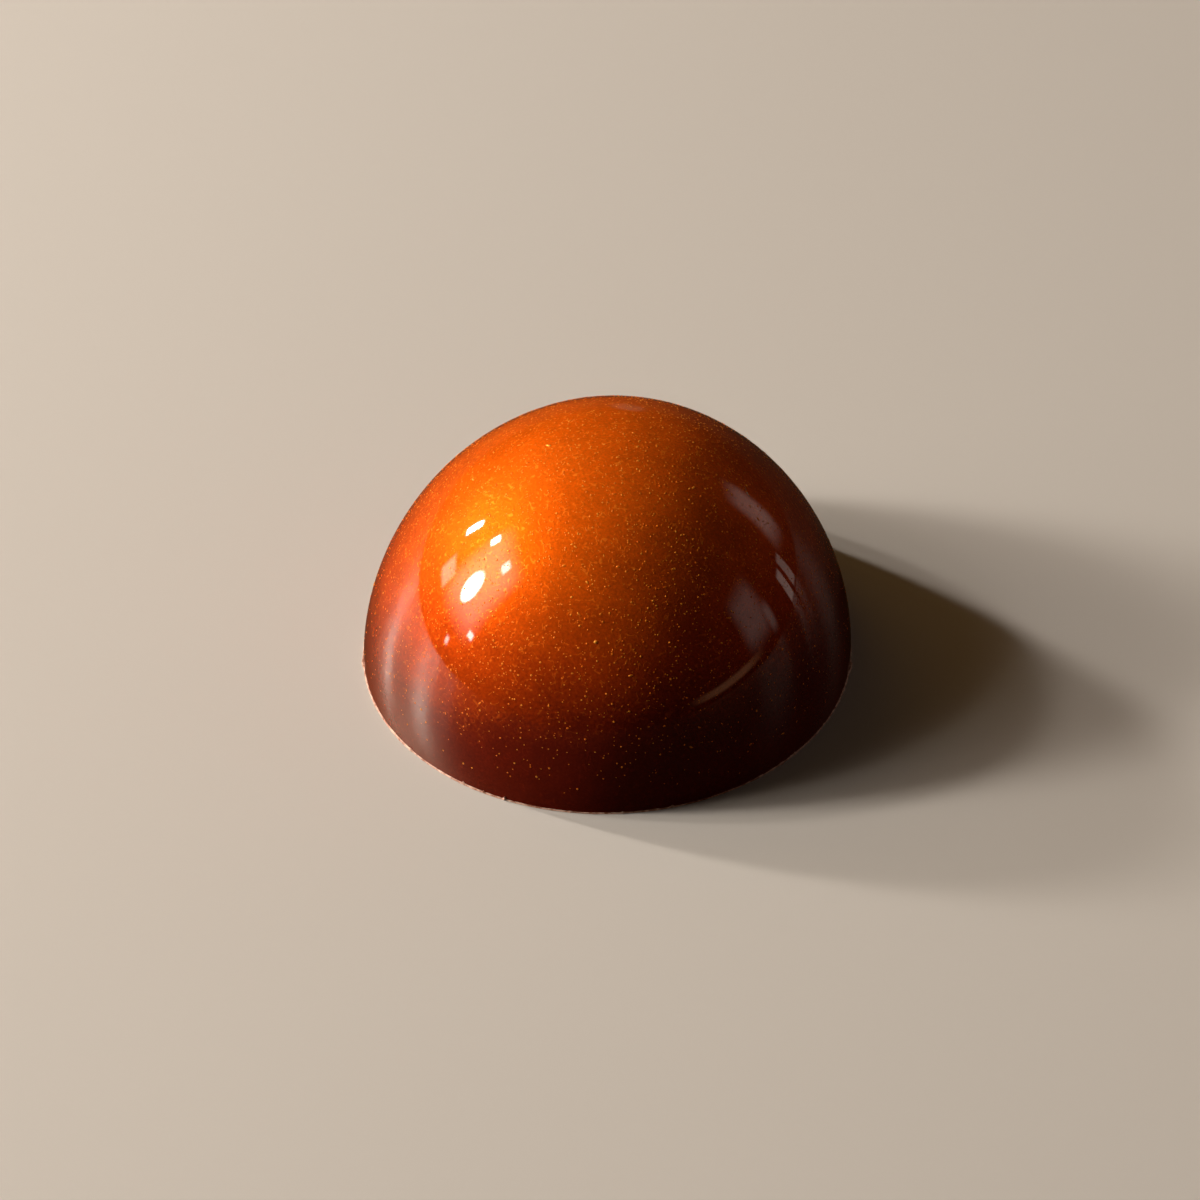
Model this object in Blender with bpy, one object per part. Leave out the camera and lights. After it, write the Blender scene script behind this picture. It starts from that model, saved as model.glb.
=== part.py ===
"""Moulded chocolate praline: one solid dome on a flat base with a thin trimmed lip.

Metres, +Z up. The origin is the centre of the flat base, and the dome drifts a little
towards +X as it rises, as a shell does that sat unevenly in its mould.
"""

import math

import bmesh
import bpy
from mathutils import Matrix, Vector

# Driving dimensions
BASE_DIAMETER = 0.0300
DOME_HEIGHT = 0.0162
PROFILE_EXPONENT = 1.92  # 2 would be a true half ellipse, and less slims the shoulder
CROWN_LEAN = 0.035  # drift towards +X for each unit of height
LIP_PROUD = 0.00006  # how far the trimmed lip stands out past the wall
LIP_HEIGHT = 0.00012  # the lip's upright edge
LIP_SLOPE = 0.00010  # height over which the lip falls back to the wall

# Fineness of the turned surface
TURN_STEPS = 96
PROFILE_STEPS = 30
MERGE_DISTANCE = 1e-7
SHARP_ANGLE = math.radians(35)

# Worked out from the sizes above
BASE_RADIUS = BASE_DIAMETER / 2
LIP_RADIUS = BASE_RADIUS + LIP_PROUD
WALL_START = LIP_HEIGHT + LIP_SLOPE

COCOA_BUTTER_ORANGE = (0.54, 0.061, 0.003, 1.0)
GLOSS_ROUGHNESS = 0.12


def clear_scene():
    """Remove whatever the file holds."""
    for item in list(bpy.data.objects):
        bpy.data.objects.remove(item, do_unlink=True)


def wall_point(angle):
    """Point of the dome's outline in the XZ plane: angle 0 is the base, a right angle the crown."""
    power = 2 / PROFILE_EXPONENT
    radius = BASE_RADIUS * max(math.cos(angle), 0.0) ** power
    height = DOME_HEIGHT * math.sin(angle) ** power
    return Vector((radius, 0, height))


def half_outline():
    """The turned outline, from the middle of the base out to the lip and up to the crown."""
    first_angle = math.asin((WALL_START / DOME_HEIGHT) ** (PROFILE_EXPONENT / 2))
    outline = [
        Vector((0, 0, 0)),
        Vector((LIP_RADIUS, 0, 0)),
        Vector((LIP_RADIUS, 0, LIP_HEIGHT)),
    ]
    for step in range(PROFILE_STEPS):
        share = step / PROFILE_STEPS
        outline.append(wall_point(first_angle + share * (math.pi / 2 - first_angle)))
    outline.append(Vector((0, 0, DOME_HEIGHT)))
    return outline


def turned_solid(name, outline):
    """Turn an outline round Z into one closed mesh whose faces point outwards."""
    shape = bmesh.new()
    points = [shape.verts.new(point) for point in outline]
    for lower, upper in zip(points, points[1:]):
        shape.edges.new((lower, upper))
    bmesh.ops.spin(
        shape,
        geom=shape.verts[:] + shape.edges[:],
        cent=(0, 0, 0),
        axis=(0, 0, 1),
        angle=math.tau,
        steps=TURN_STEPS,
    )
    bmesh.ops.remove_doubles(shape, verts=shape.verts[:], dist=MERGE_DISTANCE)
    bmesh.ops.recalc_face_normals(shape, faces=shape.faces[:])
    mesh = bpy.data.meshes.new(name)
    shape.to_mesh(mesh)
    shape.free()
    return mesh


def coated_chocolate():
    """Tempered chocolate under a glossy orange coat of coloured cocoa butter."""
    material = bpy.data.materials.new("coated_chocolate")
    material.use_nodes = True
    shader = material.node_tree.nodes["Principled BSDF"]
    shader.inputs["Base Color"].default_value = COCOA_BUTTER_ORANGE
    shader.inputs["Roughness"].default_value = GLOSS_ROUGHNESS
    shader.inputs["Metallic"].default_value = 0.0
    return material


def make_praline():
    """The whole praline: dome, lip and flat base in one solid."""
    mesh = turned_solid("praline", half_outline())
    mesh.transform(Matrix.Shear("XY", 4, (CROWN_LEAN, 0)))
    mesh.shade_smooth()
    mesh.set_sharp_from_angle(angle=SHARP_ANGLE)
    mesh.materials.append(coated_chocolate())
    praline = bpy.data.objects.new("praline", mesh)
    bpy.context.collection.objects.link(praline)
    return praline


clear_scene()
make_praline()
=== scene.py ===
"""Looks of a moulded chocolate praline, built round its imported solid.

One glossy dome of tempered chocolate. An orange coat of coloured cocoa butter is sprayed over
the crown and thins out towards the foot, grains of gold mica lie in the coat, and a pale
ragged line runs round the base where the mould was scraped level. Metres, +Z up.
"""

import logging
import math
import random
from dataclasses import dataclass
from enum import Enum
from typing import Any, Iterable

import bpy
from mathutils import Matrix, Quaternion, Vector

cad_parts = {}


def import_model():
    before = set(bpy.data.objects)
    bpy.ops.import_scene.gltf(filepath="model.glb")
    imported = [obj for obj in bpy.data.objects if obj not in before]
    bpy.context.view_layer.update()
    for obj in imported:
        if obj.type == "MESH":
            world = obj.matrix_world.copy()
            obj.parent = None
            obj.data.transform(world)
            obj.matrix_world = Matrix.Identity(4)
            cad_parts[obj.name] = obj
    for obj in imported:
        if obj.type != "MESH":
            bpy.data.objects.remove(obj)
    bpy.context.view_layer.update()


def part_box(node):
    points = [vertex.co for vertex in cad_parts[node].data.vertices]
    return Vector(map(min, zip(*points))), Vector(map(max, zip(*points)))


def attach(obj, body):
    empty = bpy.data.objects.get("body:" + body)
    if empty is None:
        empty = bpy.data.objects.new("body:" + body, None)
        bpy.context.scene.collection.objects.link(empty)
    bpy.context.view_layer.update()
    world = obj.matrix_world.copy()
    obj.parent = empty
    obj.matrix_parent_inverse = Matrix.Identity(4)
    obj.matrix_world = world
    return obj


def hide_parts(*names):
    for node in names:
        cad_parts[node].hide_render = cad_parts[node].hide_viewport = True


MM = 0.001
BODY = "root"
CAD_NODE = "praline"

CHOCOLATE_IOR = 1.46  # cocoa butter, clear or round the cocoa grains
MERGE_DISTANCE = 1e-6  # points closer than this are one point
ON_FLOOR = 1e-6  # a point lower than this rests on the floor
LIP_PROUD = 0.06 * MM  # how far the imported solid's lip stands out past its wall

log = logging.getLogger("praline")


# Small tools


def linear(hex_colour: str, alpha: float = 1.0) -> tuple[float, float, float, float]:
    """Turn an sRGB hex colour into linear RGBA.

    Args:
        hex_colour: Six hex digits, with or without a leading hash.
        alpha: The fourth value.

    Returns:
        Linear red, green, blue and alpha.
    """
    digits = hex_colour.lstrip("#")
    channels = []
    for start in (0, 2, 4):
        value = int(digits[start : start + 2], 16) / 255
        channels.append(value / 12.92 if value <= 0.04045 else ((value + 0.055) / 1.055) ** 2.4)
    return (channels[0], channels[1], channels[2], alpha)


def per_mm(size_mm: float) -> float:
    """Texture scale that gives features of this size, in millimetres."""
    return 1 / (size_mm * MM)


def add_node(
    tree: bpy.types.NodeTree,
    kind: str,
    settings: dict[str, Any] | None = None,
    inputs: dict[str | int, Any] | None = None,
) -> bpy.types.Node:
    """Add a node to a tree, with its settings and its inputs.

    Args:
        tree: The tree to add to.
        kind: The node's type name.
        settings: Properties of the node.
        inputs: Input sockets by name or index. A socket as value is linked, the rest is set.

    Returns:
        The new node.
    """
    node = tree.nodes.new(kind)
    for name, value in (settings or {}).items():
        setattr(node, name, value)
    for name, value in (inputs or {}).items():
        if isinstance(value, bpy.types.NodeSocket):
            tree.links.new(value, node.inputs[name])
        else:
            node.inputs[name].default_value = value
    return node


class Bench:
    """The modelling bench: one object at a time, shaped with Blender's operators."""

    @staticmethod
    def clear_selection() -> None:
        """Deselect every object, because an operator acts on all that is selected."""
        if bpy.context.object and bpy.context.object.mode != "OBJECT":
            bpy.ops.object.mode_set(mode="OBJECT")
        bpy.ops.object.select_all(action="DESELECT")

    @staticmethod
    def take(piece: bpy.types.Object) -> None:
        """Make one object the only selected and active one."""
        Bench.clear_selection()
        piece.select_set(True)
        bpy.context.view_layer.objects.active = piece

    @staticmethod
    def edit(element: str = "VERT") -> None:
        """Enter edit mode on the active object, with one kind of element selectable."""
        bpy.ops.object.mode_set(mode="EDIT")
        bpy.ops.mesh.select_mode(type=element)

    @staticmethod
    def leave() -> None:
        """Return to object mode."""
        bpy.ops.object.mode_set(mode="OBJECT")

    @staticmethod
    def apply_modifier(piece: bpy.types.Object, kind: str, name: str, **settings: Any) -> None:
        """Add a modifier, set it and apply it.

        Args:
            piece: The object that takes it.
            kind: The modifier's type.
            name: Its name.
            **settings: Its properties.
        """
        Bench.take(piece)
        modifier = piece.modifiers.new(name, kind)
        for key, value in settings.items():
            setattr(modifier, key, value)
        bpy.ops.object.modifier_apply(modifier=modifier.name)

    @staticmethod
    def turn(name: str, outline: list[Vector], steps: int, closed: bool = False) -> bpy.types.Object:
        """Turn an outline round the Z axis, as on a lathe.

        Args:
            name: The new object's name.
            outline: Points in the XZ plane, at +X.
            steps: Steps in a full turn.
            closed: Whether the outline's last point joins its first.

        Returns:
            The turned object, with its normals pointing outwards.
        """
        Bench.clear_selection()
        bpy.ops.mesh.primitive_circle_add(vertices=3, radius=MM, fill_type="NOTHING", location=(0, 0, 0))
        piece = bpy.context.object
        piece.name = name
        piece.data.name = name
        Bench.edit()
        bpy.ops.mesh.select_all(action="SELECT")
        bpy.ops.mesh.merge(type="CENTER")
        bpy.ops.transform.translate(value=outline[0])
        for before, after in zip(outline, outline[1:]):
            bpy.ops.mesh.extrude_vertices_move(TRANSFORM_OT_translate={"value": after - before})
        if closed:
            Bench.leave()
            last = len(piece.data.vertices) - 1
            for index, vertex in enumerate(piece.data.vertices):
                vertex.select = index in (0, last)
            Bench.edit()
            bpy.ops.mesh.edge_face_add()
        bpy.ops.mesh.select_all(action="SELECT")
        bpy.ops.mesh.spin(steps=steps, angle=math.tau, center=(0, 0, 0), axis=(0, 0, 1))
        bpy.ops.mesh.select_all(action="SELECT")
        bpy.ops.mesh.remove_doubles(threshold=MERGE_DISTANCE)
        bpy.ops.mesh.normals_make_consistent(inside=False)
        Bench.leave()
        Bench.put_in_order(piece.data)
        return piece

    @staticmethod
    def put_in_order(mesh: bpy.types.Mesh) -> None:
        """Sort a mesh's points and faces by their places.

        Spin and merge leave them in an order that changes from run to run, and the grains
        that are scattered over the faces would change with it.

        Args:
            mesh: The mesh, rewritten in place.
        """
        places = [tuple(vertex.co) for vertex in mesh.vertices]
        order = sorted(range(len(places)), key=lambda index: places[index])
        rank = {index: position for position, index in enumerate(order)}
        faces = []
        for face in mesh.polygons:
            ring = [rank[index] for index in face.vertices]
            first = ring.index(min(ring))
            faces.append(ring[first:] + ring[:first])
        mesh.clear_geometry()
        mesh.from_pydata([places[index] for index in order], [], sorted(faces))
        mesh.update()


def soft_noise(name: str, size_mm: float, depth: int = 2) -> bpy.types.Texture:
    """A cloud pattern for a Displace modifier, its lumps of a given size."""
    texture = bpy.data.textures.new(name, "CLOUDS")
    texture.noise_scale = size_mm * MM
    texture.noise_depth = depth
    return texture


# The praline's form


@dataclass(frozen=True)
class DomeForm:
    """The dome's true shape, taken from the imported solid's box.

    Attributes:
        radius: Radius of the wall where it meets the base.
        height: Height of the crown.
        exponent: Exponent of the outline, where 2 is a half ellipse.
        lean: Drift towards +X for each unit of height.
    """

    radius: float
    height: float
    exponent: float = 1.92
    lean: float = 0.035

    @classmethod
    def from_frame(cls, lip_proud: float) -> "DomeForm":
        """Read the sizes off the CAD node's box.

        Args:
            lip_proud: How far the trimmed lip stands out past the wall.

        Returns:
            The form.
        """
        low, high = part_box(CAD_NODE)
        return cls(radius=(high.y - low.y) / 2 - lip_proud, height=high.z)

    def outline(self, angle: float) -> Vector:
        """Point of the upright outline: angle 0 is the base, a right angle the crown."""
        power = 2 / self.exponent
        radius = self.radius * max(math.cos(angle), 0.0) ** power
        return Vector((radius, 0, self.height * math.sin(angle) ** power))

    def place(self, turn: float, angle: float) -> Vector:
        """Point on the leaning dome.

        Args:
            turn: Degrees round Z, counted from +X towards +Y.
            angle: Degrees up the outline, from 0 at the base to 90 at the crown.

        Returns:
            The point.
        """
        flat = self.outline(math.radians(angle))
        around = math.radians(turn)
        lean = self.lean * flat.z
        return Vector((flat.x * math.cos(around) + lean, flat.x * math.sin(around), flat.z))

    def normal(self, turn: float, angle: float) -> Vector:
        """Outward direction at a point of the dome, from two short steps along the surface."""
        step = 0.05  # degrees
        here = self.place(turn, angle)
        up = self.place(turn, angle + step) - here
        along = self.place(turn + step, angle) - here
        return along.cross(up).normalized()


# Finishes


def blank_material(name: str) -> tuple[bpy.types.Material, bpy.types.NodeTree, bpy.types.NodeSocket]:
    """Start a material.

    Args:
        name: Its name.

    Returns:
        The material, its empty node tree, and the place on the piece for its patterns to read.
    """
    material = bpy.data.materials.new(name)
    material.use_nodes = True
    tree = material.node_tree
    tree.nodes.clear()
    return material, tree, add_node(tree, "ShaderNodeTexCoord").outputs["Object"]


def dress(material: bpy.types.Material, inputs: dict[str | int, Any]) -> bpy.types.Material:
    """Close a material with its surface.

    Args:
        material: The material.
        inputs: Inputs of its surface shader.

    Returns:
        The same material.
    """
    shader = add_node(material.node_tree, "ShaderNodeBsdfPrincipled", inputs=inputs)
    surface = {"Surface": shader.outputs["BSDF"]}
    add_node(material.node_tree, "ShaderNodeOutputMaterial", inputs=surface)
    return material


def mottle(
    tree: bpy.types.NodeTree,
    place: bpy.types.NodeSocket,
    size_mm: float,
    low: float,
    high: float,
    span: tuple[float, float] = (0.3, 0.7),
    detail: float = 2.0,
    roughness: float = 0.5,
) -> bpy.types.NodeSocket:
    """A value that wanders over the surface in soft patches.

    Args:
        tree: The tree to add to.
        place: The place on the piece.
        size_mm: Size of the patches, in millimetres.
        low: Least value.
        high: Greatest value.
        span: The part of the noise's range that is spread from low to high.
        detail: Finer levels of the noise.
        roughness: Weight of the finer levels.

    Returns:
        The value.
    """
    cloud = add_node(
        tree,
        "ShaderNodeTexNoise",
        inputs={"Vector": place, "Scale": per_mm(size_mm), "Detail": detail, "Roughness": roughness},
    )
    spread = {"From Min": span[0], "From Max": span[1], "To Min": low, "To Max": high}
    return add_node(
        tree, "ShaderNodeMapRange", inputs={"Value": cloud.outputs["Fac"], **spread}
    ).outputs["Result"]


def two_tone(
    tree: bpy.types.NodeTree,
    amount: bpy.types.NodeSocket,
    span: tuple[float, float],
    tones: tuple[str, str],
) -> bpy.types.NodeSocket:
    """Colour that runs from one tone to another.

    Args:
        tree: The tree to add to.
        amount: The value that picks the tone.
        span: Where the value reaches the first tone and the second.
        tones: The two tones.

    Returns:
        The colour.
    """
    ends = {"Value": amount, "From Min": span[0], "From Max": span[1]}
    share = add_node(tree, "ShaderNodeMapRange", inputs=ends).outputs["Result"]
    first, second = (linear(tone) for tone in tones)
    blend = {"Factor": share, "A": first, "B": second}
    return add_node(tree, "ShaderNodeMix", {"data_type": "RGBA"}, blend).outputs[2]


@dataclass(frozen=True)
class SprayedCoat:
    """Moulded coloured cocoa butter over dark chocolate.

    The mould leaves a mirror gloss. Under that clear gloss lies a pearly orange pigment, thick
    on the crown and thinning in a fine mist to bare brown chocolate near the foot.

    Attributes:
        bare: Brown chocolate with hardly any pigment on it.
        misted: The first mist over the brown.
        half: Half covered.
        full: The full coat.
        fade_low_mm: Height where the mist starts.
        fade_high_mm: Height where the coat is full.
        drift_mm: How far the mist's border wanders up and down.
        scatter_mm: How far single droplets stray past the border.
        lit_side_tilt: Rise of the coat's level for each unit along X and along Y. It lowers the
            orange's border on the left and back, the side the key light comes from: painted
            light that brightens the lit side of the foot.
        cloud_mm: Size of the clouds that the border drifts by.
        droplet_mm: Size of the droplets.
        mottling: Sizes of the mottling in mm, each with its least and greatest brightness.
        stroke: Colour of the hair lines where mica gathered.
        stroke_gain: How much brighter a hair line is than its ground.
        stroke_share: How far its colour goes to the colour of mica.
        curl_mm: Size of the curls that the hair lines follow.
        curl_width: Their half width, as a share of the noise's range.
        break_mm: Size of the gaps that break them up.
        pearl: Share of light that the mica sends back where the coat is thick.
        pigment_roughness: Least and greatest roughness of the pigment under the gloss.
        gloss_roughness: Roughness of the mirror gloss.
        reflection_tone: Pale tone of a painted reflection on the back of the crown.
        reflection_share: How much of the colour the painted reflection hides in its middle.
        reflection_centre_mm: Middle of the painted reflection.
        reflection_half_mm: Half sizes of the painted reflection.
        reflection_turn: Degrees the painted reflection is turned round Z.
    """

    bare: str = "#691A0A"
    misted: str = "#782109"
    half: str = "#C04108"
    full: str = "#F96708"
    fade_low_mm: float = 3.2
    fade_high_mm: float = 14.5
    drift_mm: float = 0.9
    scatter_mm: float = 0.8
    lit_side_tilt: tuple[float, float] = (-0.10, 0.07)
    cloud_mm: float = 7.0
    droplet_mm: float = 0.2
    mottling: tuple[tuple[float, float, float], ...] = ((1.8, 0.9, 1.06), (0.16, 0.84, 1.12))
    stroke: str = "#FF982C"
    stroke_gain: float = 0.35
    stroke_share: float = 0.45
    curl_mm: float = 0.5
    curl_width: float = 0.05
    break_mm: float = 0.32
    pearl: float = 0.42
    pigment_roughness: tuple[float, float] = (0.45, 0.53)
    gloss_roughness: float = 0.03
    reflection_tone: str = "#E8B494"
    reflection_share: float = 0.42
    reflection_centre_mm: tuple[float, float, float] = (1.52, 4.5, 15.25)
    reflection_half_mm: tuple[float, float, float] = (1.35, 0.8, 1.2)
    reflection_turn: float = -20.0

    def build(self) -> bpy.types.Material:
        """Make the material."""
        material, tree, place = blank_material("moulded_cocoa_butter_gloss")
        spray = self._spray_amount(tree, place)
        strokes = self._strokes(tree, place)
        return dress(
            material,
            {
                "Base Color": self._pigment(tree, place, spray, strokes),
                "Metallic": self._pearl(tree, spray),
                "Roughness": mottle(tree, place, 1.1, *self.pigment_roughness, detail=3.0, roughness=0.6),
                "IOR": CHOCOLATE_IOR,
                # The gloss above has the same IOR, so the pigment's own face mirrors nothing.
                "Specular IOR Level": 0.0,
                "Coat Weight": 1.0,
                "Coat Roughness": self.gloss_roughness,
                "Coat IOR": CHOCOLATE_IOR,
                "Normal": self._relief(tree, place, strokes),
            },
        )

    def _spray_amount(self, tree: bpy.types.NodeTree, place: bpy.types.NodeSocket) -> bpy.types.NodeSocket:
        """How much pigment lies at a point: height, cloudy drift and mist droplets."""
        # The tilt lifts the coat's level towards the key light's side: painted light on the lit side.
        height = add_node(
            tree,
            "ShaderNodeVectorMath",
            {"operation": "DOT_PRODUCT"},
            {0: place, 1: (*self.lit_side_tilt, 1.0)},
        ).outputs["Value"]
        for size_mm, reach_mm in ((self.cloud_mm, self.drift_mm), (self.droplet_mm, self.scatter_mm)):
            stray = mottle(tree, place, size_mm, -reach_mm * MM, reach_mm * MM, detail=2.0, roughness=0.55)
            height = add_node(
                tree, "ShaderNodeMath", {"operation": "ADD"}, {0: height, 1: stray}
            ).outputs["Value"]
        amount = add_node(
            tree,
            "ShaderNodeMapRange",
            inputs={
                "Value": height,
                "From Min": self.fade_low_mm * MM,
                "From Max": self.fade_high_mm * MM,
            },
        )
        return amount.outputs["Result"]

    def _strokes(self, tree: bpy.types.NodeTree, place: bpy.types.NodeSocket) -> bpy.types.NodeSocket:
        """Short curled hair lines where the coat flowed together, from 0 to 1.

        They follow the contour lines of a fine noise, broken up by a second one. True hair lines
        are finer: these are drawn as coarse as they have to be to show.
        """
        curls = add_node(
            tree,
            "ShaderNodeTexNoise",
            inputs={"Vector": place, "Scale": per_mm(self.curl_mm), "Detail": 1.0, "Roughness": 0.5},
        )
        off_line = add_node(
            tree,
            "ShaderNodeMath",
            {"operation": "SUBTRACT"},
            {0: curls.outputs["Fac"], 1: 0.5},
        )
        distance = add_node(tree, "ShaderNodeMath", {"operation": "ABSOLUTE"}, {0: off_line.outputs["Value"]})
        line = add_node(
            tree,
            "ShaderNodeMapRange",
            {"interpolation_type": "SMOOTHSTEP"},
            {
                "Value": distance.outputs["Value"],
                "From Min": 0.0,
                "From Max": self.curl_width,
                "To Min": 1.0,
                "To Max": 0.0,
            },
        )
        kept = mottle(tree, place, self.break_mm, 0.0, 1.0, span=(0.53, 0.63), detail=0.0)
        return add_node(
            tree, "ShaderNodeMath", {"operation": "MULTIPLY"}, {0: line.outputs["Result"], 1: kept}
        ).outputs["Value"]

    def _pigment(
        self,
        tree: bpy.types.NodeTree,
        place: bpy.types.NodeSocket,
        spray: bpy.types.NodeSocket,
        strokes: bpy.types.NodeSocket,
    ) -> bpy.types.NodeSocket:
        """Colour of the coat: brown to orange with the spray, mottled and finely grained, with a painted
        reflection behind the crown.
        """
        ramp = add_node(tree, "ShaderNodeValToRGB", inputs={"Fac": spray})
        stops = ((0.0, self.bare), (0.13, self.misted), (0.46, self.half), (1.0, self.full))
        elements = ramp.color_ramp.elements
        while len(elements) < len(stops):
            elements.new(0.5)
        for element, (position, hex_colour) in zip(elements, stops):
            element.position = position
            element.color = linear(hex_colour)
        gain = add_node(
            tree,
            "ShaderNodeMath",
            {"operation": "MULTIPLY_ADD"},
            {0: strokes, 1: self.stroke_gain, 2: 1.0},
        ).outputs["Value"]
        for size_mm, low, high in self.mottling:
            spread = mottle(tree, place, size_mm, low, high, detail=2.0, roughness=0.6)
            gain = add_node(
                tree, "ShaderNodeMath", {"operation": "MULTIPLY"}, {0: gain, 1: spread}
            ).outputs["Value"]
        toned = add_node(
            tree,
            "ShaderNodeVectorMath",
            {"operation": "SCALE"},
            {0: ramp.outputs["Color"], "Scale": gain},
        )
        gathered = add_node(tree, "ShaderNodeMath", {"operation": "MULTIPLY"}, {0: strokes, 1: spray})
        share = add_node(
            tree,
            "ShaderNodeMath",
            {"operation": "MULTIPLY", "use_clamp": True},
            {0: gathered.outputs["Value"], 1: self.stroke_share},
        )
        lined = add_node(
            tree,
            "ShaderNodeMix",
            {"data_type": "RGBA"},
            {"Factor": share.outputs["Value"], "A": toned.outputs["Vector"], "B": linear(self.stroke)},
        )
        # Painted reflection: a pale patch mixed into the pigment behind the crown.
        reflected_patch = add_node(
            tree,
            "ShaderNodeMix",
            {"data_type": "RGBA"},
            {"Factor": self._painted_reflection(tree, place), "A": lined.outputs[2], "B": linear(self.reflection_tone)},
        )
        return reflected_patch.outputs[2]

    def _painted_reflection(self, tree: bpy.types.NodeTree, place: bpy.types.NodeSocket) -> bpy.types.NodeSocket:
        """Faint pale streaky patch behind the crown: a painted reflection."""
        centred = add_node(
            tree,
            "ShaderNodeMapping",
            {"vector_type": "TEXTURE"},
            {
                "Vector": place,
                "Location": tuple(value * MM for value in self.reflection_centre_mm),
                "Rotation": (0, 0, math.radians(self.reflection_turn)),
                "Scale": tuple(value * MM for value in self.reflection_half_mm),
            },
        )
        reach = add_node(
            tree, "ShaderNodeVectorMath", {"operation": "LENGTH"}, {0: centred.outputs["Vector"]}
        )
        inside = add_node(
            tree,
            "ShaderNodeMapRange",
            {"interpolation_type": "SMOOTHSTEP"},
            {
                "Value": reach.outputs["Value"],
                "From Min": 0.4,
                "From Max": 1.0,
                "To Min": self.reflection_share,
                "To Max": 0.0,
            },
        )
        streaks = add_node(
            tree,
            "ShaderNodeTexNoise",
            inputs={"Vector": place, "Scale": per_mm(0.35), "Detail": 2.0},
        )
        return add_node(
            tree,
            "ShaderNodeMath",
            {"operation": "MULTIPLY"},
            {0: inside.outputs["Result"], 1: streaks.outputs["Fac"]},
        ).outputs["Value"]

    def _pearl(self, tree: bpy.types.NodeTree, spray: bpy.types.NodeSocket) -> bpy.types.NodeSocket:
        """Share of the light that the mica in the pigment sends back as a satin lobe."""
        pearl = add_node(
            tree,
            "ShaderNodeMapRange",
            inputs={"Value": spray, "From Min": 0.1, "From Max": 0.7, "To Max": self.pearl},
        )
        return pearl.outputs["Result"]

    def _relief(
        self,
        tree: bpy.types.NodeTree,
        place: bpy.types.NodeSocket,
        strokes: bpy.types.NodeSocket,
    ) -> bpy.types.NodeSocket:
        """Relief of the pigment grains and hair lines, under the clear gloss."""
        grains = add_node(
            tree,
            "ShaderNodeTexVoronoi",
            {"feature": "F1"},
            {"Vector": place, "Scale": per_mm(0.16), "Randomness": 1.0},
        )
        height = add_node(
            tree,
            "ShaderNodeMath",
            {"operation": "ADD"},
            {0: grains.outputs["Distance"], 1: strokes},
        )
        relief = add_node(
            tree,
            "ShaderNodeBump",
            inputs={"Height": height.outputs["Value"], "Strength": 0.3, "Distance": 0.02 * MM},
        )
        return relief.outputs["Normal"]


@dataclass(frozen=True)
class ScrapedChocolate:
    """Tempered dark chocolate scraped level with a blade while it set.

    The blade leaves a satin face with fine parallel drag lines.

    Attributes:
        light: Chocolate smeared thin by the blade.
        dark: Chocolate in the drag lines.
    """

    light: str = "#5A2C1A"
    dark: str = "#34160C"

    def build(self) -> bpy.types.Material:
        """Make the material."""
        material, tree, place = blank_material("scraped_dark_chocolate_satin")
        stretched = add_node(
            tree,
            "ShaderNodeMapping",
            inputs={"Vector": place, "Rotation": (0, 0, math.radians(24)), "Scale": (0.06, 1, 1)},
        )
        drag = add_node(
            tree,
            "ShaderNodeTexNoise",
            inputs={"Vector": stretched.outputs["Vector"], "Scale": per_mm(0.5), "Detail": 4.0},
        )
        cloud = add_node(
            tree,
            "ShaderNodeTexNoise",
            inputs={"Vector": place, "Scale": per_mm(3.5), "Detail": 3.0},
        )
        blend = add_node(
            tree,
            "ShaderNodeMath",
            {"operation": "MULTIPLY_ADD"},
            {0: drag.outputs["Fac"], 1: 0.6, 2: cloud.outputs["Fac"]},
        )
        tone = two_tone(tree, blend.outputs["Value"], (0.55, 1.05), (self.dark, self.light))
        rough = add_node(
            tree,
            "ShaderNodeMapRange",
            inputs={"Value": drag.outputs["Fac"], "To Min": 0.32, "To Max": 0.6},
        )
        relief = add_node(
            tree,
            "ShaderNodeBump",
            inputs={"Height": drag.outputs["Fac"], "Strength": 0.6, "Distance": 0.05 * MM},
        )
        return dress(
            material,
            {
                "Base Color": tone,
                "Roughness": rough.outputs["Result"],
                "IOR": CHOCOLATE_IOR,
                "Normal": relief.outputs["Normal"],
            },
        )


@dataclass(frozen=True)
class PaleEdgeWithPaintedGlint:
    """Chocolate broken along a sharp edge, paler than its moulded face.

    Fine fat crystals stand open there, so it is a creamy pinkish brown with a soft shine.
    Its pale tone is set paler than that: a painted highlight, standing in for the glint of
    light along the edge.

    Attributes:
        pale: Open fat crystals, made paler still as a painted highlight for the glint along the edge.
        brown: Chocolate between them.
    """

    pale: str = "#F2C9B2"
    brown: str = "#A9694C"

    def build(self) -> bpy.types.Material:
        """Make the material."""
        material, tree, place = blank_material("broken_chocolate_edge_painted_glint")
        crumbs = add_node(
            tree,
            "ShaderNodeTexNoise",
            inputs={"Vector": place, "Scale": per_mm(0.45), "Detail": 3.0, "Roughness": 0.65},
        )
        tone = two_tone(tree, crumbs.outputs["Fac"], (0.36, 0.6), (self.brown, self.pale))
        relief = add_node(
            tree,
            "ShaderNodeBump",
            inputs={"Height": crumbs.outputs["Fac"], "Strength": 0.5, "Distance": 0.03 * MM},
        )
        rough = add_node(
            tree,
            "ShaderNodeMapRange",
            inputs={"Value": crumbs.outputs["Fac"], "To Min": 0.3, "To Max": 0.55},
        )
        return dress(
            material,
            {
                "Base Color": tone,
                "Roughness": rough.outputs["Result"],
                "IOR": CHOCOLATE_IOR,
                "Normal": relief.outputs["Normal"],
            },
        )


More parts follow.
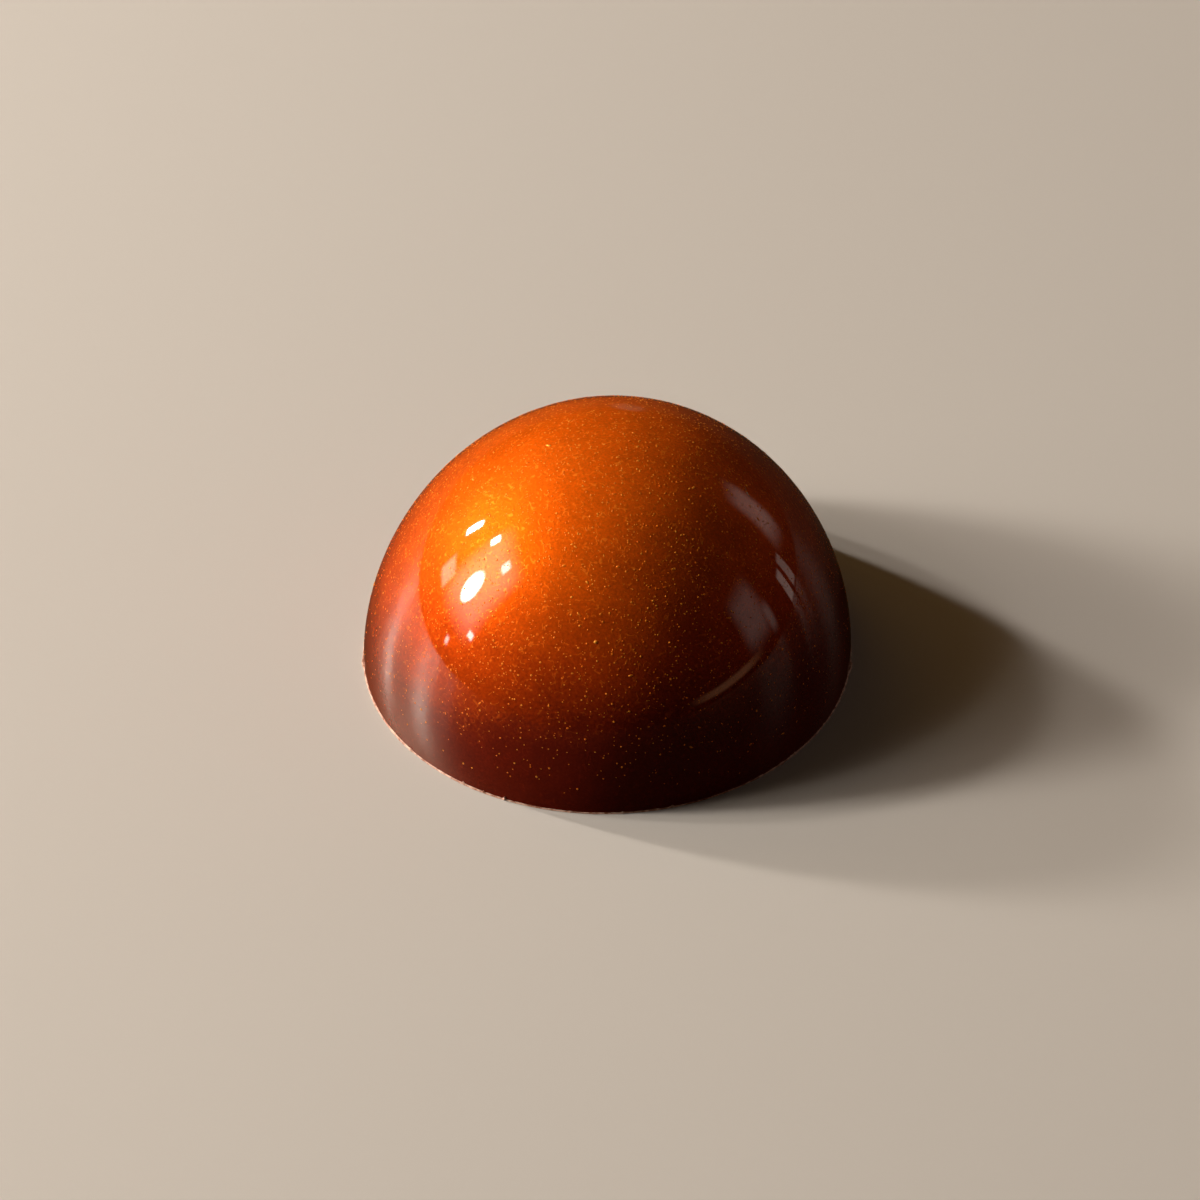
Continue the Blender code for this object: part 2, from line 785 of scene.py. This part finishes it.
@dataclass(frozen=True)
class GoldMica:
    """Pearl pigment grain: a mica flake with a metal oxide skin, seen as a warm glint.

    Attributes:
        deep: Its deepest orange.
        bright: Its brightest gold.
    """

    deep: str = "#FF7A10"
    bright: str = "#FFA430"

    def build(self) -> bpy.types.Material:
        """Make the material."""
        material, tree, place = blank_material("gold_mica_grain")
        tint = add_node(
            tree,
            "ShaderNodeTexNoise",
            inputs={"Vector": place, "Scale": per_mm(0.6), "Detail": 1.0},
        )
        tone = two_tone(tree, tint.outputs["Fac"], (0.35, 0.65), (self.deep, self.bright))
        rough = add_node(
            tree,
            "ShaderNodeMapRange",
            inputs={"Value": tint.outputs["Fac"], "To Min": 0.3, "To Max": 0.5},
        )
        return dress(
            material,
            {
                "Base Color": tone,
                "Metallic": 0.4,
                "Specular IOR Level": 0.2,
                "Roughness": rough.outputs["Result"],
            },
        )


@dataclass(frozen=True)
class StudioBoard:
    """Pale matt board to the eye, that gives the gloss a dark satin table to mirror.

    A pale floor would lay a grey haze over the dark foot of the praline, so light that has
    already met the praline finds a near black satin face instead.

    Attributes:
        pale: The board that the eye sees.
        dark: The table that the gloss mirrors.
        gleam: Tint of the window light that grazes the table.
    """

    pale: str = "#D8D4CE"
    dark: str = "#141110"
    gleam: str = "#FFDCA8"

    def build(self) -> bpy.types.Material:
        """Make the material."""
        material = bpy.data.materials.new("studio_board")
        material.use_nodes = True
        tree = material.node_tree
        tree.nodes.clear()
        board = add_node(
            tree,
            "ShaderNodeBsdfPrincipled",
            inputs={"Base Color": linear(self.pale), "Roughness": 0.9, "Specular IOR Level": 0.1},
        )
        table = add_node(
            tree,
            "ShaderNodeBsdfPrincipled",
            inputs={
                "Base Color": linear(self.dark),
                "Roughness": 0.5,
                "IOR": 2.4,
                "Coat Weight": 0.7,
                "Coat Roughness": 0.32,
                "Coat IOR": 1.5,
                "Specular Tint": linear(self.gleam),
            },
        )
        seen = add_node(tree, "ShaderNodeLightPath").outputs["Is Camera Ray"]
        face = add_node(
            tree,
            "ShaderNodeMixShader",
            inputs={0: seen, 1: table.outputs["BSDF"], 2: board.outputs["BSDF"]},
        )
        add_node(tree, "ShaderNodeOutputMaterial", inputs={"Surface": face.outputs["Shader"]})
        return material


# Pieces


@dataclass
class MouldedShell:
    """The praline's body: the moulded dome and its scraped flat underside.

    Attributes:
        form: The dome's shape.
        turn_steps: Steps round the dome.
        wall_steps: Steps up the outline.
        base_steps: Rings across the underside.
        waviness: How far the moulded wall strays from its true form.
        base_hollow: Depth of the shallow dips that the blade leaves in the underside.
        dip_reach: Where the dips end, as a share of the foot's radius.
        dip_fade: How steeply they fade out there.
    """

    form: DomeForm
    turn_steps: int = 400
    wall_steps: int = 140
    base_steps: int = 24
    waviness: float = 0.012 * MM
    base_hollow: float = 0.05 * MM
    dip_reach: float = 0.93
    dip_fade: float = 6.0

    def outline(self) -> list[Vector]:
        """Outline from the middle of the underside, out to the foot and up to the crown."""
        ring_width = self.form.radius / self.base_steps
        points = [Vector((ring_width * ring, 0, 0)) for ring in range(self.base_steps)]
        quarter = math.pi / 2
        points += [self.form.outline(quarter * step / self.wall_steps) for step in range(self.wall_steps)]
        points.append(Vector((0, 0, self.form.height)))
        return points

    def build(self, coat: bpy.types.Material, underside: bpy.types.Material) -> bpy.types.Object:
        """Model and dress the body.

        Args:
            coat: Material of the dome.
            underside: Material of the flat base.

        Returns:
            The finished piece.
        """
        shell = Bench.turn("moulded_shell", self.outline(), self.turn_steps)
        self._make_uneven(shell)
        shell.data.transform(Matrix.Shear("XY", 4, (self.form.lean, 0)))
        shell.data.materials.append(coat)
        shell.data.materials.append(underside)
        for face in shell.data.polygons:
            face.material_index = 1 if face.normal.z < -0.5 else 0
        Bench.take(shell)
        bpy.ops.object.shade_smooth_by_angle(angle=math.radians(40))
        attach(shell, BODY)
        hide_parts(CAD_NODE)
        return shell

    def _make_uneven(self, shell: bpy.types.Object) -> None:
        """Give the wall its faint waviness and the underside its shallow dips."""
        wall = shell.vertex_groups.new(name="wall")
        base = shell.vertex_groups.new(name="base")
        for vertex in shell.data.vertices:
            rise = min(max(vertex.co.z / MM, 0.0), 1.0)
            if rise > 0:
                wall.add([vertex.index], rise, "REPLACE")
            inward = 1 - vertex.co.xy.length / (self.dip_reach * self.form.radius)
            if vertex.co.z < ON_FLOOR and inward > 0:
                base.add([vertex.index], min(inward * self.dip_fade, 1.0), "REPLACE")
        Bench.apply_modifier(
            shell,
            "DISPLACE",
            "mould_waviness",
            texture=soft_noise("mould_waviness", 6.0),
            vertex_group="wall",
            strength=self.waviness,
            mid_level=0.5,
        )
        Bench.apply_modifier(
            shell,
            "DISPLACE",
            "blade_dips",
            texture=soft_noise("blade_dips", 2.5, depth=3),
            vertex_group="base",
            direction="Z",
            strength=self.base_hollow,
            mid_level=0.0,
        )


@dataclass(frozen=True)
class Nick:
    """One uneven spot on the lip.

    Attributes:
        turn: Degrees round Z, counted from +X towards +Y.
        width: Length of the spot along the rim.
        out: How far the lip stands out there, negative where it is chipped away.
        up: How far the lip's edge climbs the wall there.
    """

    turn: float
    width: float
    out: float
    up: float = 0.0


@dataclass
class TrimmedLip:
    """The ragged pale line round the foot, where the excess chocolate was scraped off.

    Attributes:
        form: The dome's shape.
        proud: How far the lip stands out past the wall on average.
        height: Height of the lip on the wall.
        depth: How far its section reaches in under the shell.
        steps: Steps round the rim.
        nick_count: Small nicks and crumbs spread round the rim.
        seed: Seed of their places.
        marks: The larger burrs and chips.
    """

    form: DomeForm
    proud: float = 0.05 * MM
    height: float = 0.11 * MM
    depth: float = 0.25 * MM
    steps: int = 1600
    nick_count: int = 90
    seed: int = 7
    marks: tuple[Nick, ...] = (
        Nick(turn=171.0, width=0.5 * MM, out=0.13 * MM, up=0.06 * MM),
        Nick(turn=168.0, width=0.35 * MM, out=0.12 * MM, up=0.05 * MM),
        Nick(turn=184.0, width=1.6 * MM, out=0.09 * MM, up=0.02 * MM),
        Nick(turn=217.5, width=0.5 * MM, out=0.06 * MM, up=0.12 * MM),
        Nick(turn=234.5, width=0.16 * MM, out=0.02 * MM, up=0.16 * MM),
        Nick(turn=240.0, width=0.14 * MM, out=0.02 * MM, up=0.14 * MM),
        Nick(turn=245.5, width=0.14 * MM, out=0.02 * MM, up=0.15 * MM),
        Nick(turn=330.0, width=0.4 * MM, out=-0.04 * MM, up=0.22 * MM),
        Nick(turn=318.0, width=0.3 * MM, out=0.03 * MM, up=0.1 * MM),
        Nick(turn=352.0, width=1.8 * MM, out=0.12 * MM, up=0.02 * MM),
    )

    def outline(self) -> list[Vector]:
        """Closed cross-section of the lip, its foot on the table."""
        radius = self.form.radius
        return [
            Vector((radius - self.depth, 0, 0)),
            Vector((radius + 0.4 * self.proud, 0, 0)),
            Vector((radius + self.proud, 0, 0.3 * self.height)),
            Vector((radius + 0.75 * self.proud, 0, 0.65 * self.height)),
            Vector((radius - 0.1 * self.proud, 0, self.height)),
            Vector((radius - self.depth, 0, 0.6 * self.height)),
        ]

    def all_nicks(self) -> list[Nick]:
        """The named marks and the small nicks between them."""
        dice = random.Random(self.seed)
        nicks = list(self.marks)
        for _ in range(self.nick_count):
            nicks.append(
                Nick(
                    turn=dice.uniform(0, 360),
                    width=dice.uniform(0.1, 0.45) * MM,
                    out=dice.choice((-1, 1, 1)) * dice.uniform(0.01, 0.04) * MM,
                    up=dice.uniform(-0.04, 0.08) * MM,
                )
            )
        return nicks

    def build(self, finish: bpy.types.Material) -> bpy.types.Object:
        """Model and dress the lip.

        Args:
            finish: Material of broken chocolate, its pale tone partly a painted highlight.

        Returns:
            The finished piece.
        """
        lip = Bench.turn("trimmed_lip", self.outline(), self.steps, closed=True)
        self._roughen(lip)
        self._cut_nicks(lip)
        lip.data.materials.append(finish)
        Bench.take(lip)
        bpy.ops.object.shade_smooth_by_angle(angle=math.radians(50))
        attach(lip, BODY)
        return lip

    def _roughen(self, lip: bpy.types.Object) -> None:
        """Let the lip swell and thin along its length."""
        outer = lip.vertex_groups.new(name="outer")
        inner_radius = self.form.radius - 0.5 * self.depth
        for vertex in lip.data.vertices:
            if vertex.co.xy.length > inner_radius and vertex.co.z > ON_FLOOR:
                outer.add([vertex.index], 1.0, "REPLACE")
        for size_mm, strength in ((1.8, 0.07 * MM), (0.35, 0.05 * MM)):
            name = f"lip_unevenness_{size_mm}"
            Bench.apply_modifier(
                lip,
                "DISPLACE",
                name,
                texture=soft_noise(name, size_mm),
                vertex_group="outer",
                strength=strength,
                mid_level=0.5,
            )

    def _cut_nicks(self, lip: bpy.types.Object) -> None:
        """Push the lip out, in or up at each nick, fading to nothing at the nick's ends."""
        places = [vertex.co.copy() for vertex in lip.data.vertices]
        turns = [math.degrees(math.atan2(place.y, place.x)) for place in places]
        for nick in self.all_nicks():
            half = math.degrees(0.5 * nick.width / self.form.radius)
            for index, turn in enumerate(turns):
                apart = abs((turn - nick.turn + 180) % 360 - 180)
                place = places[index]
                if apart > half or place.z < ON_FLOOR:
                    continue
                radius = place.xy.length
                if radius < self.form.radius - 0.5 * self.depth:
                    continue
                fade = 0.5 + 0.5 * math.cos(math.pi * apart / half)
                outward = Vector((place.x / radius, place.y / radius, 0))
                place += outward * (nick.out * fade)
                place.z = max(place.z + nick.up * fade * place.z / self.height, 1e-5)
        for vertex, place in zip(lip.data.vertices, places):
            vertex.co = place


def low_grain(name: str, sides: int = 7) -> bpy.types.Object:
    """Model one grain: a closed low dome of unit radius and unit height, to be scaled.

    Args:
        name: Its name.
        sides: Sides of its outline.

    Returns:
        The grain.
    """
    Bench.clear_selection()
    bpy.ops.mesh.primitive_cone_add(
        vertices=sides, radius1=1.0, radius2=0.66, depth=0.75, location=(0, 0, 0.375)
    )
    grain = bpy.context.object
    grain.name = name
    bpy.ops.object.transform_apply(location=True, rotation=True, scale=True)
    Bench.edit("FACE")
    bpy.ops.mesh.select_all(action="DESELECT")
    Bench.leave()
    for face in grain.data.polygons:
        face.select = face.normal.z > 0.9
    Bench.edit("FACE")
    bpy.ops.mesh.poke(offset=0.25)
    Bench.leave()
    for face in grain.data.polygons:
        face.use_smooth = True
    return grain


@dataclass
class MicaGrains:
    """Gold mica grains that show at the surface of the coat as pinpoint glints.

    True grains are finer. These are as coarse as they have to be to show.

    Attributes:
        form: The dome's shape. Not used.
        per_mm2: Grains on each square millimetre of the crown.
        radius: Radius of a usual grain.
        rise: Height of a grain over its radius.
        bare_below: Height over the base where the first grains lie.
        full_above: Height over the base where they lie as thick as on the crown.
        seed: Seed of their places.
    """

    form: DomeForm
    per_mm2: float = 6.0
    radius: float = 0.045 * MM
    rise: float = 0.36
    bare_below: float = 0.8 * MM
    full_above: float = 9.0 * MM
    seed: int = 11

    def build(self, shell: bpy.types.Object, finish: bpy.types.Material) -> bpy.types.Object:
        """Scatter the grains over the dome.

        Args:
            shell: The dome that carries them.
            finish: Material of the mica.

        Returns:
            The grains, as one joined mesh.
        """
        grain = low_grain("one_grain")
        Bench.clear_selection()
        grains = bpy.data.objects.new("mica_grains", shell.data.copy())
        grains.data.name = "mica_grains"
        bpy.context.scene.collection.objects.link(grains)
        modifier = grains.modifiers.new("scatter", "NODES")
        modifier.node_group = self._scatter_nodes(grain)
        Bench.take(grains)
        bpy.ops.object.modifier_apply(modifier=modifier.name)
        bpy.data.objects.remove(grain)
        grains.data.materials.clear()
        grains.data.materials.append(finish)
        Bench.take(grains)
        bpy.ops.object.shade_smooth()
        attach(grains, BODY)
        return grains

    def _scatter_nodes(self, grain: bpy.types.Object) -> bpy.types.NodeTree:
        """Nodes that place a grain on the dome, thinning out towards the foot."""
        tree = bpy.data.node_groups.new("scatter_mica", "GeometryNodeTree")
        tree.interface.new_socket("Geometry", in_out="INPUT", socket_type="NodeSocketGeometry")
        tree.interface.new_socket("Geometry", in_out="OUTPUT", socket_type="NodeSocketGeometry")
        source = add_node(tree, "NodeGroupInput").outputs["Geometry"]
        position = add_node(tree, "GeometryNodeInputPosition").outputs["Position"]
        height = add_node(tree, "ShaderNodeSeparateXYZ", inputs={0: position}).outputs["Z"]
        thinning = add_node(
            tree,
            "ShaderNodeMapRange",
            inputs={
                "Value": height,
                "From Min": self.bare_below,
                "From Max": self.full_above,
                "To Min": 0.0,
                "To Max": self.per_mm2 / (MM * MM),
            },
        )
        points = add_node(
            tree,
            "GeometryNodeDistributePointsOnFaces",
            {"distribute_method": "RANDOM"},
            {"Mesh": source, "Density": thinning.outputs["Result"], "Seed": self.seed},
        )
        spin = add_node(
            tree,
            "FunctionNodeRandomValue",
            {"data_type": "FLOAT_VECTOR"},
            {0: (0, 0, 0), 1: (0, 0, math.tau), "Seed": self.seed + 1},
        )
        turned = add_node(
            tree,
            "FunctionNodeRotateRotation",
            {"rotation_space": "LOCAL"},
            {"Rotation": points.outputs["Rotation"], "Rotate By": spin.outputs[0]},
        )
        grain_info = add_node(tree, "GeometryNodeObjectInfo", inputs={"Object": grain})
        copies = add_node(
            tree,
            "GeometryNodeInstanceOnPoints",
            inputs={
                "Points": points.outputs["Points"],
                "Instance": grain_info.outputs["Geometry"],
                "Rotation": turned.outputs["Rotation"],
                "Scale": self._sizes(tree),
            },
        )
        real = add_node(
            tree,
            "GeometryNodeRealizeInstances",
            inputs={"Geometry": copies.outputs["Instances"]},
        )
        add_node(tree, "NodeGroupOutput", inputs={"Geometry": real.outputs["Geometry"]})
        return tree

    def _sizes(self, tree: bpy.types.NodeTree) -> bpy.types.NodeSocket:
        """Sizes of the grains: mostly small, a few large, and one in twenty drawn out long."""
        sizes = []
        for offset, low, high, power in ((2, 0.7, 1.6, 3.0), (3, 1.0, 3.2, 24.0)):
            dice = add_node(
                tree,
                "FunctionNodeRandomValue",
                {"data_type": "FLOAT"},
                {2: 0.0, 3: 1.0, "Seed": self.seed + offset},
            )
            skewed = add_node(
                tree,
                "ShaderNodeMath",
                {"operation": "POWER"},
                {0: dice.outputs[1], 1: power},
            )
            spread = add_node(
                tree,
                "ShaderNodeMapRange",
                inputs={"Value": skewed.outputs["Value"], "To Min": low, "To Max": high},
            )
            sizes.append(spread.outputs["Result"])
        length = add_node(tree, "ShaderNodeMath", {"operation": "MULTIPLY"}, {0: sizes[0], 1: sizes[1]})
        rise = add_node(tree, "ShaderNodeMath", {"operation": "MULTIPLY"}, {0: sizes[0], 1: self.rise})
        shape = add_node(
            tree,
            "ShaderNodeCombineXYZ",
            inputs={0: length.outputs["Value"], 1: sizes[0], 2: rise.outputs["Value"]},
        )
        return add_node(
            tree,
            "ShaderNodeVectorMath",
            {"operation": "SCALE"},
            {0: shape.outputs["Vector"], "Scale": self.radius},
        ).outputs["Vector"]


@dataclass(frozen=True)
class Fleck:
    """One large fleck in the coat.

    Attributes:
        turn: Degrees round the dome, counted from +X towards +Y.
        angle: Degrees up the outline, from 0 at the base to 90 at the crown.
        length: Its length.
        width: Its width.
        spin: Degrees it is turned about the wall's own outward direction.
        sides: Sides of its outline.
    """

    turn: float
    angle: float
    length: float
    width: float
    spin: float = 0.0
    sides: int = 10


@dataclass
class LargeFlecks:
    """The few mica flakes and crumbs large enough to be told apart by eye.

    Attributes:
        form: The dome's shape.
        name: The joined piece's name.
        rise: Height of a fleck over its width.
        flecks: The flecks.
    """

    form: DomeForm
    name: str
    flecks: tuple[Fleck, ...]
    rise: float = 0.22

    def build(self, finish: bpy.types.Material) -> bpy.types.Object:
        """Model, place and join the flecks.

        Args:
            finish: Their material.

        Returns:
            The joined piece.
        """
        made = [self._place(fleck) for fleck in self.flecks]
        Bench.clear_selection()
        for fleck in made:
            fleck.select_set(True)
        bpy.context.view_layer.objects.active = made[0]
        if len(made) > 1:
            bpy.ops.object.join()
        piece = bpy.context.object
        piece.name = self.name
        piece.data.name = self.name
        piece.data.materials.append(finish)
        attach(piece, BODY)
        return piece

    def _place(self, fleck: Fleck) -> bpy.types.Object:
        """Shape one fleck and sink its foot a little into the wall."""
        piece = low_grain("fleck", fleck.sides)
        outward = self.form.normal(fleck.turn, fleck.angle)
        facing = outward.to_track_quat("Z", "Y") @ Quaternion((0, 0, 1), math.radians(fleck.spin))
        rise = self.rise * min(fleck.length, fleck.width)
        size = Matrix.Diagonal((0.5 * fleck.length, 0.5 * fleck.width, rise, 1.0))
        foot = self.form.place(fleck.turn, fleck.angle) - outward * (0.2 * rise)
        piece.data.transform(Matrix.Translation(foot) @ facing.to_matrix().to_4x4() @ size)
        return piece


# Stage: floor, light and camera


class Face(Enum):
    """Shape of a softbox's bright face."""

    PANE = "pane"
    ROUND = "round"


@dataclass(frozen=True)
class Softbox:
    """A flat soft light, placed by the direction it shines from.

    Attributes:
        name: Its name.
        turn: Degrees round Z, counted from +Y towards +X.
        rise: Degrees over the floor.
        width: Width as seen from the praline, in degrees.
        height: Height as seen from the praline, in degrees.
        radiance: Brightness of its face.
        softness: Share of its half width over which its edge fades out.
        face: Shape of its bright face.
        colour: Its light's colour.
        roll: Turn of its face in its own plane, in degrees.
        distance: Distance from the praline.
    """

    name: str
    turn: float
    rise: float
    width: float
    height: float
    radiance: float
    softness: float = 0.5
    face: Face = Face.PANE
    colour: str = "#FFF6EC"
    roll: float = 0.0
    distance: float = 0.6

    def build(self, target: Vector) -> bpy.types.Object:
        """Hang the light.

        Args:
            target: The point it faces.

        Returns:
            The light object.
        """
        around, up = math.radians(self.turn), math.radians(self.rise)
        towards = Vector((math.sin(around) * math.cos(up), math.cos(around) * math.cos(up), math.sin(up)))
        lamp = bpy.data.lights.new(self.name, "AREA")
        lamp.shape = "RECTANGLE"
        lamp.size = 2 * self.distance * math.tan(math.radians(self.width / 2))
        lamp.size_y = 2 * self.distance * math.tan(math.radians(self.height / 2))
        lamp.energy = self.radiance * math.pi * lamp.size * lamp.size_y
        lamp.color = linear(self.colour)[:3]
        self._soften(lamp)
        holder = bpy.data.objects.new(self.name, lamp)
        holder.location = target + towards * self.distance
        facing = towards.to_track_quat("Z", "Y")
        holder.rotation_mode = "QUATERNION"
        holder.rotation_quaternion = facing @ Quaternion((0, 0, 1), math.radians(self.roll))
        bpy.context.scene.collection.objects.link(holder)
        return holder

    def _soften(self, lamp: bpy.types.Light) -> None:
        """Fade the light's face out towards its edges."""
        lamp.use_nodes = True
        tree = lamp.node_tree
        tree.nodes.clear()
        across = add_node(tree, "ShaderNodeNewGeometry").outputs["Parametric"]
        centred = add_node(
            tree,
            "ShaderNodeVectorMath",
            {"operation": "MULTIPLY_ADD"},
            {0: across, 1: (2, 2, 0), 2: (-1, -1, 0)},
        ).outputs["Vector"]
        if self.face is Face.ROUND:
            reach = [
                add_node(tree, "ShaderNodeVectorMath", {"operation": "LENGTH"}, {0: centred}).outputs["Value"]
            ]
        else:
            sides = add_node(tree, "ShaderNodeVectorMath", {"operation": "ABSOLUTE"}, {0: centred})
            split = add_node(tree, "ShaderNodeSeparateXYZ", inputs={0: sides.outputs["Vector"]})
            reach = [split.outputs["X"], split.outputs["Y"]]
        strength = None
        for distance in reach:
            fade = add_node(
                tree,
                "ShaderNodeMapRange",
                {"interpolation_type": "SMOOTHSTEP"},
                {
                    "Value": distance,
                    "From Min": 1 - self.softness,
                    "From Max": 1.0,
                    "To Min": 1.0,
                    "To Max": 0.0,
                },
            ).outputs["Result"]
            if strength is None:
                strength = fade
            else:
                strength = add_node(
                    tree, "ShaderNodeMath", {"operation": "MULTIPLY"}, {0: strength, 1: fade}
                ).outputs["Value"]
        glow = add_node(tree, "ShaderNodeEmission", inputs={"Strength": strength})
        add_node(tree, "ShaderNodeOutputLight", inputs={"Surface": glow.outputs["Emission"]})


@dataclass
class Studio:
    """The pale floor, the soft window-like light from the left and the dim room round them.

    Attributes:
        floor_half: Half the floor's width.
        lights: The lights, each with its turn, rise, width, height, radiance and softness.
    """

    floor_half: float = 1.6
    lights: tuple[Softbox, ...] = (
        Softbox("window_main", -89, 23.5, 9.5, 14, 118, 0.55, Face.ROUND),
        Softbox("window_far_low", -62.5, 24.5, 3.4, 8.5, 400, 0.7),
        Softbox("window_far_high", -76, 36, 3.6, 5.5, 230, 0.7),
        Softbox("window_near_high", -95, 39, 5.5, 6, 25, 0.6),
        Softbox("window_near_low", -104, 14, 4.5, 3.5, 25, 0.6),
        Softbox("window_low", -94, 5, 3, 4, 14, 0.8),
        Softbox("window_dim", -73, 14, 10, 9, 7, 0.5, colour="#FFE8D2"),
        Softbox("window_glow", -91, 28, 34, 40, 4.4, 0.6, colour="#FFEEDD", distance=0.64),
        Softbox("warm_sky_left", -48, 38, 76, 56, 0.55, 1.0, colour="#FFB838", distance=0.72),
        Softbox("warm_ceiling", -20, 74, 60, 50, 0.1, 1.0, colour="#FFB838", distance=0.72),
        Softbox("side_wall_near", 102, 16, 22, 28, 0.6, 0.7, colour="#FFEADD"),
        Softbox("side_wall_edge", 93, 8, 6, 15, 0.6, 0.8, colour="#FFEADD"),
        Softbox("side_wall_far", 56, 18, 17, 28, 0.8, 0.7, colour="#FFEADD", roll=-24),
        Softbox("side_window_left", 70, 5.5, 4.5, 12, 0.9, 0.3, colour="#FFEADD"),
        Softbox("side_window_right", 76, 5.0, 4.5, 12, 1.2, 0.3, colour="#FFEADD"),
        Softbox("side_rail", 124, 2.8, 46, 4.0, 1.0, 0.7, colour="#E8A070"),
    )

    def build(self, target: Vector) -> None:
        """Set up the stage.

        Args:
            target: The point the lights face.
        """
        Bench.clear_selection()
        bpy.ops.mesh.primitive_plane_add(size=2 * self.floor_half, location=(0, 0, 0))
        floor = bpy.context.object
        floor.name = "studio_floor"
        floor.data.materials.append(StudioBoard().build())
        for light in self.lights:
            light.build(target)
        self._dim_room()
        bpy.context.scene.view_settings.view_transform = "Standard"

    def _dim_room(self) -> None:
        """A dim warm room round the stage."""
        world = bpy.data.worlds.new("dim_room")
        bpy.context.scene.world = world
        world.use_nodes = True
        background = world.node_tree.nodes["Background"]
        background.inputs["Color"].default_value = linear("#FFD9B8")
        background.inputs["Strength"].default_value = 0.008


@dataclass(frozen=True)
class ViewingCamera:
    """A long lens that looks down at the praline from the front.

    Attributes:
        distance: Distance from the middle of the base.
        rise: Degrees over the floor.
        lens: Focal length in millimetres on a 36 mm wide frame.
        aim: The point in the middle of the frame.
        roll: Turn of the camera about its line of sight, in degrees.
    """

    distance: float = 0.300
    rise: float = 40.97
    lens: float = 146.0
    aim: tuple[float, float, float] = (-0.38 * MM, 0.0, 3.89 * MM)
    roll: float = -1.0

    def build(self) -> bpy.types.Object:
        """Place the camera and make it the scene's own."""
        data = bpy.data.cameras.new("viewing_camera")
        data.lens = self.lens
        data.sensor_width = 36.0
        data.clip_start = 0.01
        data.clip_end = 20.0
        camera = bpy.data.objects.new("viewing_camera", data)
        up = math.radians(self.rise)
        camera.location = self.distance * Vector((0, -math.cos(up), math.sin(up)))
        line = Vector(self.aim) - camera.location
        camera.rotation_mode = "QUATERNION"
        camera.rotation_quaternion = line.to_track_quat("-Z", "Y") @ Quaternion(
            (0, 0, 1), math.radians(self.roll)
        )
        bpy.context.scene.collection.objects.link(camera)
        bpy.context.scene.camera = camera
        return camera


# Putting it together


def main() -> None:
    """Build the praline, its stage and its camera."""
    logging.basicConfig(level=logging.INFO, format="%(name)s: %(message)s")
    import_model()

    form = DomeForm.from_frame(LIP_PROUD)
    shell = MouldedShell(form).build(SprayedCoat().build(), ScrapedChocolate().build())
    log.info("shell: %d faces", len(shell.data.polygons))
    # The lip's pale tone is partly real scraped chocolate and partly a painted highlight.
    lip = TrimmedLip(form).build(PaleEdgeWithPaintedGlint().build())
    log.info("lip: %d faces", len(lip.data.polygons))
    grains = MicaGrains(form).build(shell, GoldMica().build())
    log.info("mica grains: %d faces", len(grains.data.polygons))
    flakes = LargeFlecks(
        form,
        "mica_flakes",
        (
            Fleck(turn=170.9, angle=74.1, length=0.5 * MM, width=0.2 * MM, spin=60),
            Fleck(turn=162.0, angle=73.2, length=0.16 * MM, width=0.12 * MM, spin=20),
            Fleck(turn=-95.1, angle=40.2, length=0.27 * MM, width=0.23 * MM),
            Fleck(turn=-82.2, angle=64.5, length=0.12 * MM, width=0.1 * MM),
            Fleck(turn=77.0, angle=75.5, length=0.14 * MM, width=0.1 * MM),
        ),
    ).build(GoldMica(deep="#FF9020", bright="#FFB648").build())
    log.info("mica flakes: %d faces", len(flakes.data.polygons))
    # The pale crumb carries the same tone, partly a painted highlight on the small mark.
    crumbs = LargeFlecks(
        form,
        "pale_crumbs",
        (Fleck(turn=-10.1, angle=56.1, length=1.1 * MM, width=0.22 * MM, spin=38, sides=3),),
        rise=0.1,
    ).build(PaleEdgeWithPaintedGlint().build())
    log.info("pale crumbs: %d faces", len(crumbs.data.polygons))

    Studio().build(Vector((0, 0, 0.45 * form.height)))
    ViewingCamera().build()


if __name__ == "__main__":
    main()
